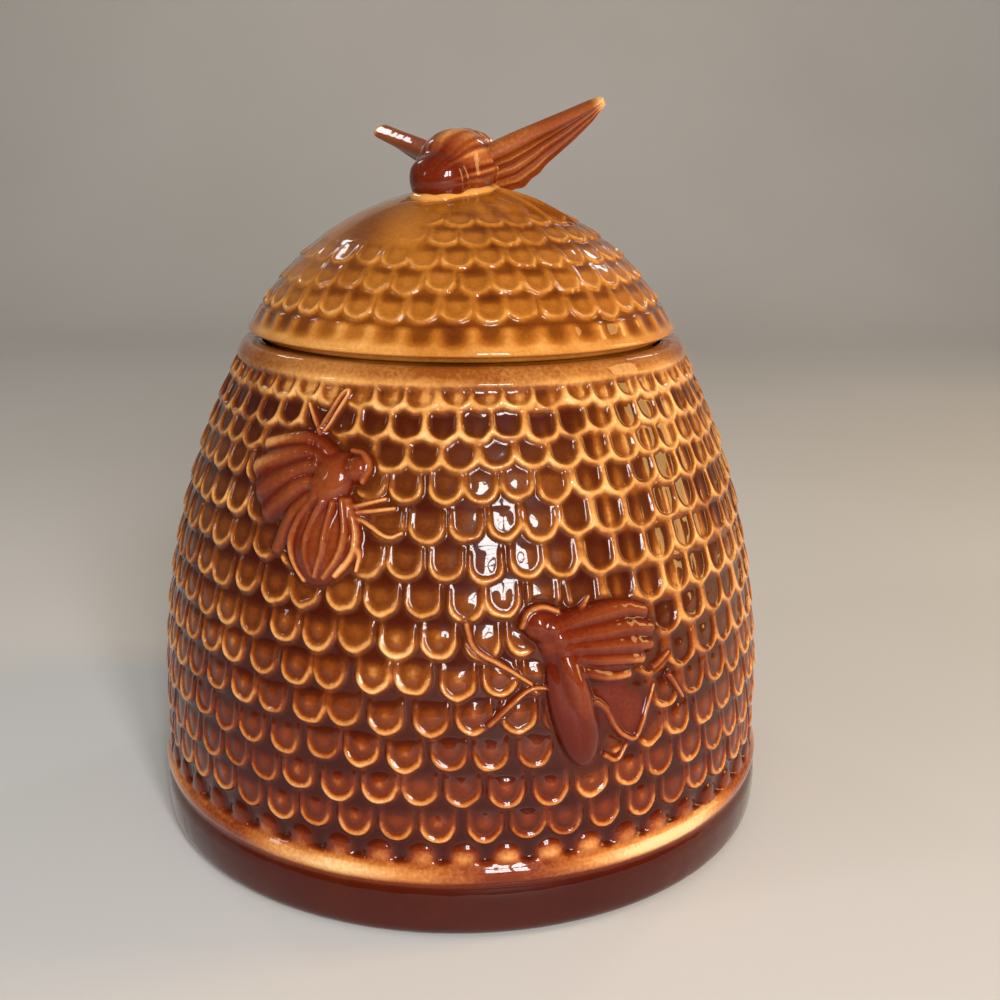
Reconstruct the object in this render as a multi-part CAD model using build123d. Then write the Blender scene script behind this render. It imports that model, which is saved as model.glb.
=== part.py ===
"""Beehive honey jar of glazed earthenware with a lift-off lid.

The wall and the lid are moulded as courses of overlapping scales, like the straw rows of a skep. Two bees
in relief sit on the wall, and a third bee with raised wings is the knob of the lid. Millimetres, +Z up,
origin on the table under the middle of the foot. The front of the jar faces -Y.
"""

from build123d import *
from math import acos, asin, atan2, cos, degrees, pi, radians, sin, sqrt
import os

# ---- jar -----------------------------------------------------------------------------------------------

belly_radius = 105.0        # widest radius of the scaled wall
belly_height = 40.0         # height at which the wall stands upright
wall_sweep = 255.0          # radius of the one long arc that the wall follows in section
wall_thickness = 6.5
floor_thickness = 8.0
floor_corner = 12.0         # bevel where the floor turns up into the wall, inside

rim_height = 163.6
rim_band = 5.2              # plain band above the scales
rim_round = 1.6
rim_width = 6.5             # thickness of the wall at the rim, which leaves the mouth
neck_depth = 9.0            # straight part of the mouth

band_height = 18.6          # plain band at the foot
band_proud = 1.2            # how far it stands out of the belly
band_round = 7.0
ridge_height = 4.0          # ridge along the top of that band
ridge_proud = 0.8
foot_ring_inner = 88.0      # unglazed ring that the jar stands on
foot_recess = 2.0
cavity_steps = 4            # flats that the inside of the wall is drawn with
bed_steps = 8               # and the surfaces that the relief bees are cut to

# Courses of scales: narrow ones on the shoulder, then even ones down the wall.
first_lip_drop = 10.8       # from the top of the rim to the lower edge of the first course
shoulder_courses = 3
shoulder_pitch = 8.9
wall_courses = 9
last_lip_rise = 8.55        # from the ridge at the foot up to the lower edge of the last course
scales_per_course = 52
scale_relief = 1.7
scale_lip = 3.4             # raised lip along the lower edge of a scale
dish_share = 0.6            # how deep the dish starts behind the lip, as a share of the relief
notch_width_share = 0.58    # gap between two scales at its open end, as a share of one scale
notch_depth_share = 0.92    # and its depth, as a share of the relief; it is as high as the lip

# ---- lid -----------------------------------------------------------------------------------------------

lid_inset = 1.4             # how far the lid's edge stands back from the rim
lid_edge_round = 1.6        # rolled edge
lid_edge_lift = 2.1         # from the seat up to the underside of the rolled edge
dome_rise = 45.5            # from the underside of the rolled edge to the top of the dome
lid_thickness = 5.0
cap_steps = 3               # flats that the plain top of the dome is drawn with
hollow_steps = 6            # and the inside of the lid
seat_width = 3.4            # flat ring that rests on the rim
seat_flare = 1.0            # how much the ring widens up to the rolled edge
seat_gap = 0.3              # between the two glazed rings
flange_depth = 10.0         # locating flange that drops into the mouth
flange_width = 5.0
flange_gap = 1.6            # flange to mouth, all round
flange_bevel = 1.0

lid_courses = 5
lid_first_lip = 11.2        # along the dome, from its edge up to the lower edge of the lowest course
lid_pitch = 9.5
lid_scale_width = 10.3
lid_relief = 1.3
lid_scale_lip = 2.9
lid_tuck_share = 0.3        # how far a course stands out under the lip above it, as a share of the relief

# ---- knob: a bee that faces the front left, with both wings raised and swept back ----------------------

knob_heading = 27.0         # degrees from the front towards the left
knob_nose_down = 14.0       # its back falls towards the head, along the dome
knob_forward = 5.0          # middle of its body ahead of the jar's axis
knob_front = 19.0           # from the middle of the body to the head end
knob_rear = 23.0            # and to the tail
knob_radius = 12.0
knob_rings = 11             # flat rings along its body
knob_sides = 20             # and flats around it
knob_rise = 17.0            # top of its back above the top of the dome

wing_length = 43.0
wing_depth = 19.0           # widest part, near the root
wing_thickness = 3.4
wing_root_back = 5.8        # root behind the middle of the body,
wing_root_side = 7.5        # out from it
wing_root_rise = 3.2        # and above it
# Where each wing points, in degrees: its azimuth from +X, its lift, and its turn about its own length.
left_wing_aim = (0.0, 23.0, 62.0)
right_wing_aim = (124.0, 11.0, 45.0)

# ---- bees in relief on the wall ------------------------------------------------------------------------

# Where the thorax lies: azimuth from the front towards the right, and distance below the rim.
upper_bee_place = (-23.6, 31.2)
lower_bee_place = (18.5, 72.9)
# The abdomen: its length, its radius, and its lean from straight down towards the wings, in degrees.
upper_bee_abdomen = (30.0, 9.4, 4.0)
lower_bee_abdomen = (39.5, 6.8, 4.5)
# The fan of the wings, from the middle of the thorax: its reach, its rise and its fall.
upper_bee_fan = (30.5, 14.0, 23.0)
lower_bee_fan = (32.0, 6.6, 17.5)
bee_bed = 2.6               # how deep a bee is let into the wall
bee_bed_flare = 20.0        # degrees that the sides of this bed open outwards
bee_hem_proud = 0.3         # clay smoothed around its body stands this far above the lips of the scales
bee_wing_proud = 1.8
bee_body_proud = 5.0
bee_head_radius = 5.0
bee_head_reach = 7.6        # from the thorax, away from the wings
bee_head_lift = 5.0
bee_thorax_radius = 7.4
bee_head_sink = 1.0         # the head is this much lower than the thorax,
bee_abdomen_sink = 0.5      # and the abdomen this much
bee_head_rings = 4
bee_rings = 6
bee_sides = 12
fan_edges = 5               # straight edges that each side of the fan is drawn with


# ---- surfaces ------------------------------------------------------------------------------------------

def wall_radius(height, offset=0.0):
    """Radius of the wall's arc at a height, stood off outwards by offset."""
    return belly_radius - wall_sweep + sqrt((wall_sweep + offset) ** 2 - (height - belly_height) ** 2)


mouth_radius = wall_radius(rim_height) - rim_width
lid_radius = wall_radius(rim_height) - lid_inset
seat_height = rim_height + seat_gap
lid_edge_height = seat_height + lid_edge_lift
dome_sweep = (lid_radius ** 2 + dome_rise ** 2) / (2 * dome_rise)
dome_centre = lid_edge_height + dome_rise - dome_sweep


def wall_points(low, high, steps, offset):
    """Points along the wall's arc between two heights, moved out by offset."""
    heights = [low + (high - low) * number / steps for number in range(steps + 1)]
    return [(wall_radius(height, offset), height) for height in heights]


def dome_point(angle, offset=0.0):
    """Radius and height on the dome's arc; the angle is measured up from the horizon at its centre."""
    return ((dome_sweep + offset) * cos(angle), dome_centre + (dome_sweep + offset) * sin(angle))


def dome_points(low, steps, offset=0.0):
    """Points along the dome's arc from an angle up to its top, moved out by offset."""
    angles = [low + (pi / 2 - low) * number / steps for number in range(steps)]
    return [dome_point(angle, offset) for angle in angles] + [(0, dome_centre + dome_sweep + offset)]


def revolved(edges):
    return revolve(Plane.XZ * make_face(edges), Axis.Z)


def polyline(*points):
    return Polyline(*points, close=True)


def eased_corner(radius, height, ease):
    """Points of an outer lower corner that is eased with two flats."""
    cut = ease * (1 - sqrt(0.5))
    return [(radius - ease, height), (radius - cut, height + cut), (radius, height + ease)]


# ---- scales --------------------------------------------------------------------------------------------

def scale_notch(lower, run_out, width, depth, skirt):
    """Groove that parts two scales: a V that opens at their lower edge and runs out above it."""
    radius, height = lower
    lean = atan2(radius - run_out[0], run_out[1] - height)
    start = (radius - depth * cos(lean), height - depth * sin(lean))
    run = sqrt((run_out[0] - start[0]) ** 2 + (run_out[1] - start[1]) ** 2)
    along = ((run_out[0] - start[0]) / run, 0, (run_out[1] - start[1]) / run)
    groove = make_face(polyline((0, 0), (width, 2 * depth), (-width, 2 * depth)))
    plane = Plane(origin=(start[0], 0, start[1]), x_dir=(0, -1, 0), z_dir=along)
    return plane * (Pos(0, 0, -depth - skirt) * extrude(groove, run + 2 * depth + skirt))


def facetted_cone(lower, upper, count, turn):
    """Frustum with one flat per scale between two (radius, height) points of its ridges."""
    (low_radius, low_height), (top_radius, top_height) = lower, upper
    rise = top_height - low_height
    taper = degrees(atan2((low_radius - top_radius) * cos(pi / count), rise))
    flats = RegularPolygon(low_radius, count, rotation=turn)
    return Pos(0, 0, low_height) * extrude(flats, rise, taper=taper)


def scale_course(lower, crease, upper, count, half_step, relief, skirt=0.0):
    """One course of scales, each with a raised lip, a dished face and a notch to the next.

    lower, crease and upper are (radius, height) of the ridges between the flats: at the lower edge, behind
    the lip and at the top. A skirt drops straight down from the lower edge, and closes the course on a
    shallow slope.
    """
    step = 360.0 / count
    turn = step / 2 if half_step else 0.0
    body = facetted_cone(lower, crease, count, turn) + facetted_cone(crease, upper, count, turn)
    if skirt:
        flats = RegularPolygon(lower[0], count, rotation=turn)
        body += Pos(0, 0, lower[1] - skirt) * extrude(flats, skirt)
    width = 2 * lower[0] * sin(pi / count) * notch_width_share
    notch = scale_notch(lower, crease, width, relief * notch_depth_share, skirt)
    return body - [Rot(0, 0, turn + step * number) * notch for number in range(count)]


def wall_point(angle, depth=0.0):
    """Radius and height on the wall's arc, sunk in by depth; the angle is measured from the belly."""
    height = belly_height + wall_sweep * sin(angle)
    return (wall_radius(height) - depth, height)


def wall_angle(height):
    return asin((height - belly_height) / wall_sweep)


def jar_courses():
    """Courses on the wall from the shoulder down, each tucked under the lip of the one above."""
    courses = []
    first = wall_angle(rim_height - first_lip_drop)
    last = wall_angle(band_height + ridge_height + last_lip_rise)
    shoulder = shoulder_pitch / wall_sweep
    pitch = (first - last - shoulder_courses * shoulder) / wall_courses
    dish = dish_share * scale_relief
    angle = first
    upper_angle = wall_angle(rim_height - rim_band)
    for number in range(1 + shoulder_courses + wall_courses):
        crease = wall_point(angle + scale_lip / wall_sweep, dish)
        upper = wall_point(upper_angle, scale_relief)
        half_step = number % 2 == 0
        course = scale_course(wall_point(angle), crease, upper, scales_per_course, half_step, scale_relief)
        courses.append(course)
        upper_angle = angle
        angle -= shoulder if number < shoulder_courses else pitch
    return courses, wall_point(upper_angle)[1]


def lid_scale_courses():
    """Courses on the dome from its edge up; the highest runs out into the plain cap."""
    courses = []
    dish = dish_share * lid_relief
    for number in range(lid_courses):
        angle = edge_angle() + (lid_first_lip + lid_pitch * number) / dome_sweep
        next_angle = angle + lid_pitch / dome_sweep
        last = number == lid_courses - 1
        lower = dome_point(angle)
        skirt = lid_relief / sin(angle)
        if last:
            upper = dome_point(next_angle)
        else:
            lip_radius, lip_height = dome_point(next_angle)
            tuck = lid_tuck_share * lid_relief
            upper = (lip_radius + tuck, lip_height - lid_relief / sin(next_angle))
        crease = dome_point(angle + lid_scale_lip / dome_sweep, -dish)
        count = round(2 * pi * lower[0] / lid_scale_width)
        courses.append(scale_course(lower, crease, upper, count, number % 2, lid_relief, skirt))
    return courses


# ---- jar -----------------------------------------------------------------------------------------------

def jar_foot(top):
    """Plain band with its ridge, from the table up to the lowest course."""
    radius = belly_radius + band_proud
    ridge_radius = radius + ridge_proud
    ridge_middle = band_height + ridge_height / 2
    ridge_top = band_height + ridge_height
    wall = wall_radius(top) - scale_relief
    outline = polyline(
        (0, 0), *eased_corner(radius, 0, band_round), (radius, band_height),
        (ridge_radius, ridge_middle), (radius, ridge_top), (wall, top), (0, top),
    )
    return revolved(outline)


def jar_rim():
    bottom = rim_height - rim_band
    radius = wall_radius(rim_height)
    outline = polyline(
        (0, bottom), (wall_radius(bottom), bottom), (radius, rim_height - rim_round),
        (radius - rim_round, rim_height), (0, rim_height),
    )
    return revolved(outline)


def jar_cavity():
    """Inside of the jar: the wall moved in by its thickness, a bevelled floor and a straight mouth."""
    neck = rim_height - neck_depth
    shoulder = neck - neck_depth
    corner = floor_thickness + floor_corner
    outline = [(0, floor_thickness), (wall_radius(corner, -wall_thickness) - floor_corner, floor_thickness)]
    outline += wall_points(corner, shoulder, cavity_steps, -wall_thickness)
    outline += [(mouth_radius, neck), (mouth_radius, rim_height - rim_round)]
    outline += [(mouth_radius + rim_round, rim_height), (0, rim_height)]
    return revolved(polyline(*outline))


def foot_hollow():
    return Cylinder(foot_ring_inner, 2 * foot_recess)


def jar_body():
    """The jar before it is hollowed."""
    courses, lowest = jar_courses()
    return jar_foot(lowest) + (courses + [jar_rim()])


# ---- lid -----------------------------------------------------------------------------------------------

def dome_band(top_angle):
    """Plain lower part of the dome under the scales, with the rolled edge."""
    radius, height = dome_point(top_angle, -lid_relief)
    roll = eased_corner(lid_radius, lid_edge_height, lid_edge_round)
    return revolved(polyline((0, lid_edge_height), *roll, (radius, height), (0, height)))


def edge_angle():
    return asin((lid_edge_height - dome_centre) / dome_sweep)


def lid_outer():
    """The lid as a solid dome, before it is hollowed."""
    cap_angle = edge_angle() + (lid_first_lip + lid_pitch * lid_courses) / dome_sweep
    first_angle = edge_angle() + lid_first_lip / dome_sweep
    cap = revolved(polyline((0, dome_point(cap_angle)[1]), *dome_points(cap_angle, cap_steps)))
    return dome_band(first_angle) + lid_scale_courses() + cap


def lid_seat():
    """Flat ring that rests on the rim, and the locating flange below it."""
    flange_radius = mouth_radius - flange_gap
    seat_radius = flange_radius + seat_width
    bottom = seat_height - flange_depth
    outline = polyline(
        (0, bottom), (flange_radius - flange_bevel, bottom), (flange_radius, bottom + flange_bevel),
        (flange_radius, seat_height), (seat_radius, seat_height),
        (seat_radius + seat_flare, lid_edge_height), (0, lid_edge_height),
    )
    return revolved(outline)


def lid_hollow():
    inner = mouth_radius - flange_gap - flange_width
    bottom = seat_height - flange_depth
    inner_sweep = dome_sweep - lid_thickness
    spring = acos(inner / inner_sweep)
    dome = dome_points(spring, hollow_steps, -lid_thickness)
    return revolved(polyline((0, bottom), (inner, bottom), *dome))


# ---- knob ----------------------------------------------------------------------------------------------

def ringed_stations(front, rear, radius, rings):
    """Place along X and radius of the edges between the rings of an egg-shaped body."""
    turns = [pi * (number + 0.5) / (rings + 1) for number in range(rings + 1)]
    return [((front if cos(turn) > 0 else rear) * cos(turn), radius * sin(turn)) for turn in turns]


def ringed_body(front, rear, radius, rings, sides):
    """Egg-shaped body that lies along X, blunter end forward, as flat-faced rings from nose to tail."""
    stations = ringed_stations(front, rear, radius, rings)
    slices = []
    for (ahead, ahead_radius), (behind, behind_radius) in zip(stations, stations[1:]):
        widens = behind_radius > ahead_radius
        plane = Plane(
            origin=(behind if widens else ahead, 0, 0), x_dir=(0, 0, 1), z_dir=(1 if widens else -1, 0, 0)
        )
        shrink = abs(behind_radius - ahead_radius) * cos(pi / sides)
        taper = degrees(atan2(shrink, ahead - behind))
        section = RegularPolygon(max(ahead_radius, behind_radius), sides)
        slices.append(plane * extrude(section, ahead - behind, taper=taper))
    return slices[0] + slices[1:]


def knob_middle():
    heading = radians(knob_heading)
    height = dome_centre + dome_sweep + knob_rise - knob_radius
    return Vector(-knob_forward * sin(heading), -knob_forward * cos(heading), height)


def knob_full():
    """The knob's body before it is bedded on the dome; X of the egg turns to the heading, nose down."""
    body = ringed_body(knob_front, knob_rear, knob_radius, knob_rings, knob_sides)
    return Pos(knob_middle()) * Rot(0, 0, -90 - knob_heading) * Rot(0, knob_nose_down, 0) * body


def wing_outline():
    """A raised wing from its root at the origin; X runs to the tip and Y to the leading edge."""
    length, depth = wing_length, wing_depth
    leading = Spline(
        (0.02 * length, 0.23 * depth), (0.45 * length, 0.27 * depth), (0.97 * length, 0.24 * depth)
    )
    tip = ThreePointArc(leading @ 1, (length, 0.17 * depth), (0.985 * length, 0.06 * depth))
    trailing = Spline(
        tip @ 1, (0.7 * length, -0.32 * depth), (0.36 * length, -0.62 * depth),
        (0.17 * length, -0.77 * depth),
    )
    root = Polyline(trailing @ 1, (0.02 * length, -0.7 * depth), leading @ 0)
    return make_face([leading, tip, trailing, root])


def knob_wing(side, aim):
    """One raised wing; side is 1 for the bee's left wing and -1 for its right."""
    heading = radians(knob_heading)
    forward = Vector(-sin(heading), -cos(heading), 0)
    left = Vector(cos(heading), -sin(heading), 0)
    root = knob_middle() - forward * wing_root_back + left * (side * wing_root_side)
    root += Vector(0, 0, wing_root_rise)
    turn, rise, roll = (radians(angle) for angle in aim)
    span = Vector(cos(turn) * cos(rise), sin(turn) * cos(rise), sin(rise))
    ahead = Vector(sin(turn), -cos(turn), 0) * side
    over = span.cross(ahead) * -side
    leading = over * sin(roll) + ahead * cos(roll)
    plane = Plane(origin=root, x_dir=span, z_dir=span.cross(leading))
    return plane * extrude(wing_outline(), wing_thickness / 2, both=True)


# ---- bees in relief ------------------------------------------------------------------------------------

def wall_solid(offset):
    """Everything inside the wall's surface, moved out by offset."""
    low, high = band_height + ridge_height, rim_height
    return revolved(polyline((0, low), *wall_points(low, high, bed_steps, offset), (0, high)))


def on_wall(azimuth, height):
    """Plane on the wall: x runs to the right seen from outside, y up the wall and z outwards."""
    turn = radians(azimuth)
    lean = asin((height - belly_height) / wall_sweep)
    radius = wall_radius(height)
    origin = (radius * sin(turn), -radius * cos(turn), height)
    outward = (sin(turn) * cos(lean), -cos(turn) * cos(lean), sin(lean))
    return Plane(origin=origin, x_dir=(cos(turn), sin(turn), 0), z_dir=outward)


def egg_outline(front, rear, radius, rings):
    """Outline of a ringed body seen from its side."""
    stations = ringed_stations(front, rear, radius, rings)
    return make_face(polyline(*stations, *[(x, -y) for x, y in reversed(stations)]))


def fan_outline(reach, rise, fall, side):
    """Both wings of a relief bee as one fan; side is 1 where they lie on the right."""
    upper = Spline((-0.05 * reach, 0.7 * rise), (0.42 * reach, rise), (0.86 * reach, 0.72 * rise))
    outer = Spline(upper @ 1, (reach, 0), (0.92 * reach, -0.45 * fall), (0.74 * reach, -0.82 * fall))
    lower = Spline(outer @ 1, (0.48 * reach, -fall), (0.1 * reach, -0.85 * fall))
    corners = [edge @ (number / fan_edges) for edge in (upper, outer, lower) for number in range(fan_edges)]
    corners.append(lower @ 1)
    return make_face(polyline(*[(side * corner.X, corner.Y) for corner in corners]))


def bedded(outline, proud, across, along):
    """Block under an outline, down to the bed across and along the wall from the bee's middle; it narrows
    downwards as the bed does."""
    curve = across ** 2 / (2 * mouth_radius) + along ** 2 / (2 * wall_sweep)
    return Pos(0, 0, proud) * extrude(outline, -(proud + bee_bed + curve), taper=bee_bed_flare)


def relief_bee(place, abdomen, fan, side):
    """A bee seen from the side, its head turned away from its wings; side is 1 if they lie on the right."""
    azimuth, drop = place
    length, tail_radius, lean = abdomen
    head = (bee_head_radius, bee_head_radius, bee_head_radius, bee_head_rings)
    thorax = (bee_thorax_radius, bee_thorax_radius, bee_thorax_radius, bee_rings)
    tail = (length / 2, length / 2, tail_radius, bee_rings)
    head_spot = Pos(-side * bee_head_reach, bee_head_lift)
    tail_spot = Rot(0, 0, -90 + side * lean) * Pos(length / 2, 0)
    lumps = [
        (thorax, Pos(0, 0), 0, bee_thorax_radius, 0),
        (head, head_spot, bee_head_sink, bee_head_reach + bee_head_radius, bee_head_lift),
        (tail, tail_spot, bee_abdomen_sink, tail_radius, length),
    ]
    body, hem = [], []
    for egg, spot, sink, across, along in lumps:
        body.append(Pos(0, 0, bee_body_proud - sink - egg[2]) * spot * ringed_body(*egg, bee_sides))
        hem.append(bedded(spot * egg_outline(*egg), bee_hem_proud, across, along))
    reach, _, fall = fan
    plane = on_wall(azimuth, rim_height - drop)
    wings = bedded(fan_outline(*fan, side), bee_wing_proud, reach, fall)
    wings = plane * wings & wall_solid(bee_wing_proud)
    hem = plane * (hem[0] + hem[1:]) & wall_solid(bee_hem_proud)
    body = plane * (body[0] + body[1:]) - wall_solid(bee_hem_proud / 2)
    return (wings + hem - wall_solid(-bee_bed)) + body


# ---- assembly ------------------------------------------------------------------------------------------

upper_bee = relief_bee(upper_bee_place, upper_bee_abdomen, upper_bee_fan, -1)
lower_bee = relief_bee(lower_bee_place, lower_bee_abdomen, lower_bee_fan, 1)

dome = lid_outer()
knob = knob_full()

nodes = {
    "jar": jar_body() - [jar_cavity(), foot_hollow(), upper_bee, lower_bee],
    "upper_bee": upper_bee,
    "lower_bee": lower_bee,
    "lid": dome + lid_seat() - lid_hollow(),
    "knob_bee": knob - dome,
    "knob_left_wing": knob_wing(1, left_wing_aim) - [knob, dome],
    "knob_right_wing": knob_wing(-1, right_wing_aim) - [knob, dome],
}

os.makedirs("parts", exist_ok=True)
for name, shape in nodes.items():
    export_step(shape, f"parts/{name}.step")
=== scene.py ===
from math import asin, cos, pi, radians, sin, sqrt

import bmesh
import bpy
import numpy as np
from mathutils import Matrix, Vector


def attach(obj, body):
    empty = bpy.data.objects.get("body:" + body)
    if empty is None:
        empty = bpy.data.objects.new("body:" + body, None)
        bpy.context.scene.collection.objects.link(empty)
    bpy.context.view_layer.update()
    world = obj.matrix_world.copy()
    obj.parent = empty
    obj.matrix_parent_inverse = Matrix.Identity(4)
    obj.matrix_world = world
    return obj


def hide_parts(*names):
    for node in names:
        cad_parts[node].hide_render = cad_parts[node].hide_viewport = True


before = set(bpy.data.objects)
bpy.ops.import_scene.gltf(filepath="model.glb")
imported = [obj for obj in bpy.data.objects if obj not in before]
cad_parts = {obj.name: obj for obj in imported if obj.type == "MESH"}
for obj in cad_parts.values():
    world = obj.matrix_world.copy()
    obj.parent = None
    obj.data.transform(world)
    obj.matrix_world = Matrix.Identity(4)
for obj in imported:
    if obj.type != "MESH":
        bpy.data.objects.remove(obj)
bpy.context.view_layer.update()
fine = 2

# ---- driving dimensions, in millimetres ----

belly_radius, belly_height, wall_sweep = 105.0, 40.0, 255.0
rim_height, rim_band, mouth_radius = 163.6, 5.2, 66.54
first_lip_drop, shoulder_courses, shoulder_pitch, wall_courses, wall_pitch = 10.8, 3, 8.9, 9, 11.0
scales_round = 52
bump_height, wall_foot = 25.6, 24.0     # the row of plain bumps, and where the moulded wall ends below it
recess = 1.5                            # the ground between the scales lies this deep under the wall's arc
jar_skin, lid_skin = 2.6, 2.4           # how deep the rings of the outside reach
floor_thickness, wall_thickness, foot_recess = 8.0, 6.5, 2.0
foot_inner, foot_outer = 88.0, 97.5     # flat of the ring that the jar stands on
wall_inside = 70.0                      # a radius between the mouth and the outside of the jar
cell_height = 1.04 / fine               # of the grids on the jar and the lid

seat_height = rim_height + 0.3
lid_radius, lid_edge_height, dome_rise, lid_thickness = 71.64, seat_height + 2.1, 45.5, 5.0
flange_radius, flange_width, flange_depth = mouth_radius - 1.6, 5.0, 10.0
lid_courses, lid_first_lip, lid_pitch, lid_scale_width = 5, 11.2, 9.5, 10.3
lid_hollows = 42                        # thumb-like hollows round the plain band of the lid
lid_recess = 1.1
dome_sweep = (lid_radius ** 2 + dome_rise ** 2) / (2 * dome_rise)
dome_centre = lid_edge_height + dome_rise - dome_sweep
dome_edge = asin((lid_edge_height - dome_centre) / dome_sweep)

# the knob bee: which way it heads, in degrees from the front towards the left, and how its body lies
knob_heading, knob_nose_down, knob_forward = 27.0, 14.0, 5.0
knob_front, knob_rear, knob_radius, knob_rise = 19.0, 23.0, 12.0, 17.0
wing_length, wing_root_back, wing_root_side, wing_root_rise = 43.0, 5.8, 7.5, 3.2
# where each wing points, in degrees: its azimuth from +X, its lift, and its turn about its own length
left_wing_aim = (0.0, 23.0, 62.0)
right_wing_aim = (124.0, 11.0, 45.0)

# the thorax of each relief bee: degrees from the front towards the right, and height on the wall
upper_bee_place = (-25.5, 131.0)
lower_bee_place = (14.0, 92.0)


# ---- numbers that vary smoothly ----

def ease(x, low, high):
    """0 below low, 1 above high, and smooth between."""
    t = np.clip((x - low) / (high - low), 0, 1)
    return t * t * (3 - 2 * t)


def union(a, b, reach):
    """The higher of two reliefs, filleted where they meet, as glaze fills a corner."""
    near = np.clip(reach - np.abs(a - b), 0, None) / reach
    return np.maximum(a, b) + near * near * reach / 4


def wander(x, y, size, seed):
    """Smooth uneven drift between about -1 and 1; it repeats with x = 2 pi."""
    draw = np.random.default_rng(seed)
    total = 0
    for _ in range(6):
        turns = draw.integers(1, 2 + int(600 / size))
        total = total + np.sin(turns * x + draw.uniform(0.4, 1) * y * 6 / size + draw.uniform(0, 2 * pi))
    return total / 3


def blurred(relief, reach, wrap):
    """Relief averaged over a few cells each way."""
    out = relief
    for axis in (0, 1):
        total = np.zeros_like(out)
        for step in range(-reach, reach + 1):
            if axis == 1 and wrap:
                total += np.roll(out, step, axis)
            else:
                index = np.clip(np.arange(out.shape[axis]) + step, 0, out.shape[axis] - 1)
                total += np.take(out, index, axis)
        out = total / (2 * reach + 1)
    return out


def pooling(relief, reach, wrap, depth):
    """How thick the glaze lies: 0 where it runs thin over an edge, 1 where it fills a hollow."""
    return 0.5 + 0.5 * np.tanh((blurred(relief, reach, wrap) - relief) / depth)


# ---- laying a grid of points as a piece ----

def shown(name, data):
    """Object of a name in the scene."""
    made = bpy.data.objects.new(name, data)
    bpy.context.scene.collection.objects.link(made)
    return made


def smooth_into(mesh, bm):
    """Writes the grid to a mesh with smooth faces."""
    for face in bm.faces:
        face.smooth = True
    bm.to_mesh(mesh)
    bm.free()


def lay(name, body, nodes, material, points, pool, facing=None):
    """A grid bent to the points given, in mm, as a piece of a body; edges and poles that meet are welded.

    pool is how thick the glaze lies at each point, with some painted light and shade in it, and facing its
    normal where rings meet edge to edge.
    """
    rows, columns = points.shape[:2]
    bm = bmesh.new()
    bmesh.ops.create_grid(bm, x_segments=columns - 1, y_segments=rows - 1, size=1)
    mesh = bpy.data.meshes.new(name)
    bm.to_mesh(mesh)
    bm.free()
    mesh.vertices.foreach_set("co", (points * 0.001).astype(np.float32).ravel())
    depths = mesh.attributes.new("glaze_pool_and_painted_light", "FLOAT", "POINT")
    depths.data.foreach_set("value", pool.astype(np.float32).ravel())
    if facing is not None:
        attribute = mesh.attributes.new("facing", "FLOAT_VECTOR", "POINT")
        attribute.data.foreach_set("vector", facing.astype(np.float32).ravel())
    bm = bmesh.new()
    bm.from_mesh(mesh)
    bmesh.ops.remove_doubles(bm, verts=bm.verts, dist=2e-6)
    if bm.calc_volume(signed=True) < 0:
        bmesh.ops.reverse_faces(bm, faces=bm.faces)
    smooth_into(mesh, bm)
    if facing is not None:
        count = len(mesh.vertices)
        normals = np.zeros(count * 3, np.float32)
        mesh.attributes["facing"].data.foreach_get("vector", normals)
        mesh.normals_split_custom_set_from_vertices(normals.reshape(count, 3))
        mesh.attributes.remove(mesh.attributes["facing"])
    piece = shown(name, mesh)
    mesh.materials.append(material)
    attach(piece, body)
    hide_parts(*nodes)
    return piece


def turned(stations, turns):
    """Points of a turned surface, from (radius, height) stations; turns run from the front to the right."""
    radius, height = stations[..., 0], stations[..., 1]
    return np.stack([radius * np.sin(turns), -radius * np.cos(turns), height + 0 * turns], axis=-1)


def slopes(points):
    """Outward normals of a turned grid of points, for the shading of rings that meet edge to edge."""
    down = np.gradient(points, axis=0)
    across = np.roll(points, -1, 1) - np.roll(points, 1, 1)
    normal = np.cross(down, across)
    return normal / np.maximum(np.linalg.norm(normal, axis=-1, keepdims=True), 1e-9)


def eased(outline, easing):
    """Outline with each corner drawn as a short curve; easing gives how far back each curve starts."""
    out, steps = [outline[0]], 6
    for before, corner, after, cut in zip(outline, outline[1:], outline[2:], easing[1:]):
        corner = np.array(corner, float)
        if not cut:
            out.append(corner)
            continue
        start = corner + (before - corner) / np.linalg.norm(before - corner) * cut
        end = corner + (after - corner) / np.linalg.norm(after - corner) * cut
        for number in range(steps + 1):
            t = number / steps
            out.append(start * (1 - t) ** 2 + corner * 2 * t * (1 - t) + end * t * t)
    out.append(outline[-1])
    return np.array(out, float)


def respaced(outline, spacing):
    """Outline with points as far apart as spacing(point) asks."""
    run = np.concatenate([[0], np.cumsum(np.linalg.norm(np.diff(outline, axis=0), axis=1))])
    at, stops = 0.0, []
    while at < run[-1]:
        stops.append(at)
        at += spacing(np.array([np.interp(at, run, outline[:, k]) for k in (0, 1)]))
    stops.append(run[-1])
    return np.stack([np.interp(stops, run, outline[:, k]) for k in (0, 1)], axis=1)


# ---- relief of scales ----

def over(lower, upper, reach=0.5):
    """Lays one relief over another. Both are (height, pool) pairs; the higher one's glaze shows."""
    share = ease(upper[0] - lower[0], -0.7 * reach, 0.5 * reach)
    return union(lower[0], upper[0], reach), lower[1] + (upper[1] - lower[1]) * share


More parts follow.
